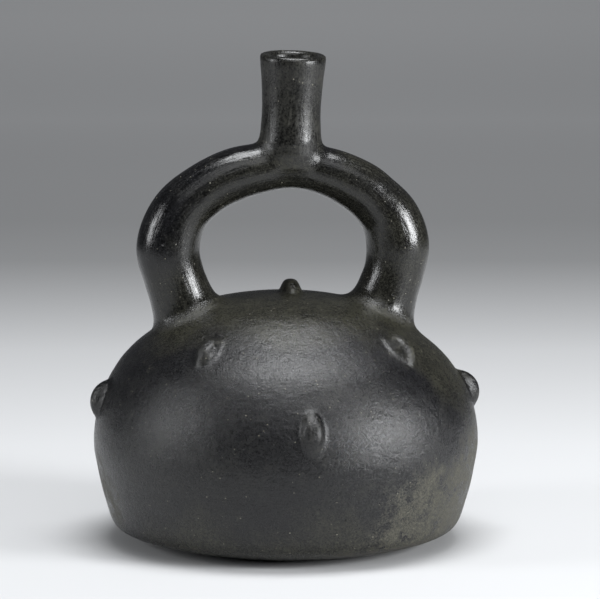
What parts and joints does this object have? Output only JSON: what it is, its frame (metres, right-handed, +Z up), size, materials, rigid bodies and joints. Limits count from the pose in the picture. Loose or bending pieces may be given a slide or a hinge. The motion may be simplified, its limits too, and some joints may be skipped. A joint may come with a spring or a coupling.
{
  "type": "stirrup spout vessel",
  "caption": "Squat round pottery vessel with pinched nubs, a hollow stirrup handle rising from its crown and a short upright spout on top.",
  "frame": {"origin": "middle of the flat part of the underside, on the surface the vessel stands on", "axes": "+Z up along the body's turning axis, X along the stirrup's plane, -Y towards the front nub"},
  "size_m": [0.181, 0.181, 0.2254],
  "materials": {
    "blackware": "reduction-fired dark clay, burnished to a satin sheen, with fine pits and olive-brown clouding"
  },
  "bodies": {
    "root": {"vessel": "blackware"}
  },
  "joints": []
}
